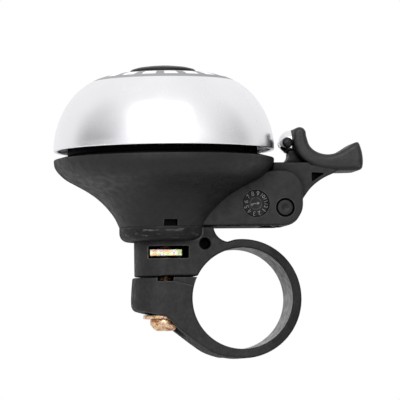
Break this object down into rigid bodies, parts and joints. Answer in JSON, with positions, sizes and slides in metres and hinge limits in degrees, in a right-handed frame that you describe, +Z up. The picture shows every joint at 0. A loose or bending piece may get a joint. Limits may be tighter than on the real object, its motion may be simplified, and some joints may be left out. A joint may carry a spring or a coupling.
{
  "type": "bicycle bell",
  "caption": "Bicycle bell: a metal dome on a moulded black base, rung by a sprung thumb lever, with a screw-closed handlebar strap clamp.",
  "frame": {"origin": "centre of the closed handlebar bore, at the middle of the clamp's width", "axes": "+Y along the handlebar, +Z up towards the dome, +X from the dome's axis towards the thumb lever"},
  "size_m": [0.0746, 0.0532, 0.0708],
  "materials": {
    "chrome_dome": "bright, finely spun metal",
    "chrome_hammer": "polished",
    "black_plastic": "satin moulded, fine grain",
    "lever_plastic": "satin moulded, a little lighter",
    "gloss_black": "smooth, slightly glossy",
    "black_pin": "dark, slightly glossy",
    "yellow_zinc": "yellow passivated zinc, iridescent",
    "plain_steel": "plain",
    "brass": "turned",
    "black_rubber": "matt"
  },
  "bodies": {
    "bell_base": {"clamp_body": "black_plastic", "clamp_nut": "yellow_zinc", "base_body": "black_plastic", "base_screw": "plain_steel", "base_washer": "plain_steel", "post_insert": "brass", "dome": "chrome_dome", "dome_seat": "black_rubber", "dome_gasket": "black_rubber", "dome_washer": "plain_steel", "dome_screw": "plain_steel", "dome_cap": "gloss_black", "pivot_pin": "black_pin", "pin_clip": "plain_steel", "lever_spring": "plain_steel"},
    "thumb_lever": {"thumb_lever": "lever_plastic", "hammer": "chrome_hammer"},
    "clamp_washer": {"clamp_washer": "yellow_zinc"},
    "clamp_screw": {"clamp_screw": "yellow_zinc"},
    "clamp_jaw": {"clamp_jaw": "black_plastic"}
  },
  "joints": [
    {"name": "lever_swing", "type": "hinge", "parent": "bell_base", "child": "thumb_lever", "pos_m": [0.0106, 0, 0.0217], "axis": [0, 1, 0], "range_deg": [-4, 25], "stiffness_Nm_per_rad": 0.06, "deforming": ["lever_spring"]},
    {"name": "clamp_screw_travel", "type": "slide", "parent": "bell_base", "child": "clamp_washer", "axis": [0, 0, 1], "range_m": [-0.0032, 0]},
    {"name": "clamp_screw_turn", "type": "hinge", "parent": "clamp_washer", "child": "clamp_screw", "pos_m": [-0.018, 0, 0], "axis": [0, 0, 1], "range_deg": [-1440, 0]},
    {"name": "clamp_jaw_open", "type": "hinge", "parent": "bell_base", "child": "clamp_jaw", "pos_m": [0.0131, 0, 0], "axis": [0, -1, 0], "range_deg": [0, 5.05]}
  ],
  "couplings": [
    {"joint": "clamp_screw_turn", "follows": "clamp_screw_travel", "rad_per_m": 7853.9},
    {"joint": "clamp_jaw_open", "follows": "clamp_screw_travel", "rad_per_m": -27.49}
  ]
}
